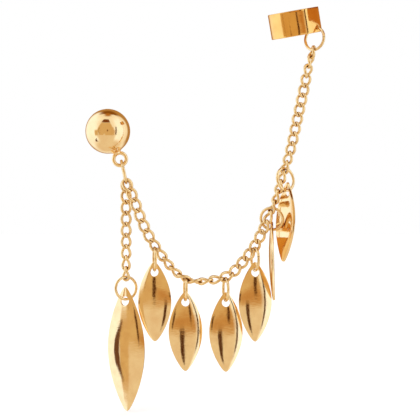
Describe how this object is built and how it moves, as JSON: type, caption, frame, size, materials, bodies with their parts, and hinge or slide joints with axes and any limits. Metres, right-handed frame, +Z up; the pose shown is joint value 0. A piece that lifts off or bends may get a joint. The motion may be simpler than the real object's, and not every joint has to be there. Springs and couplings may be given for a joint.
{
  "type": "ear cuff with a ball stud",
  "caption": "Ear cuff: a curb chain joins a ball ear stud to an open band for the rim of the ear, with dished leaf drops on jump rings and a long leaf on a chain of its own.",
  "frame": {"origin": "where the ear post leaves the back of the ball, on the ear lobe's front", "axes": "+Z up as worn, +Y away from the viewer into the ear lobe, +X from the stud towards the band"},
  "size_m": [0.0427, 0.018, 0.073],
  "materials": {
    "polished_gold": "polished gold plating",
    "gold_wire": "bright gold-plated wire"
  },
  "bodies": {
    "ear_cuff": {"cuff_band": "polished_gold", "cuff_ring": "gold_wire", "ball_stud": "polished_gold", "ear_nut": "polished_gold", "stud_ring": "gold_wire", "main_chain": "gold_wire", "drop_chain": "gold_wire", "drop_ring": "gold_wire", "leaf_ring_1": "gold_wire", "leaf_ring_2": "gold_wire", "leaf_ring_3": "gold_wire", "leaf_ring_4": "gold_wire", "leaf_ring_5": "gold_wire", "leaf_ring_6": "gold_wire", "leaf_1": "polished_gold", "leaf_2": "polished_gold", "leaf_3": "polished_gold", "leaf_4": "polished_gold", "leaf_5": "polished_gold", "leaf_6": "polished_gold"},
    "big_drop": {"big_leaf": "polished_gold"}
  },
  "joints": [
    {"name": "big_leaf_swing", "type": "hinge", "parent": "ear_cuff", "child": "big_drop", "pos_m": [0.00322, -0.00345, -0.03011], "axis": [0.8829, 0.4695, 0], "range_deg": [-30, 30]}
  ]
}
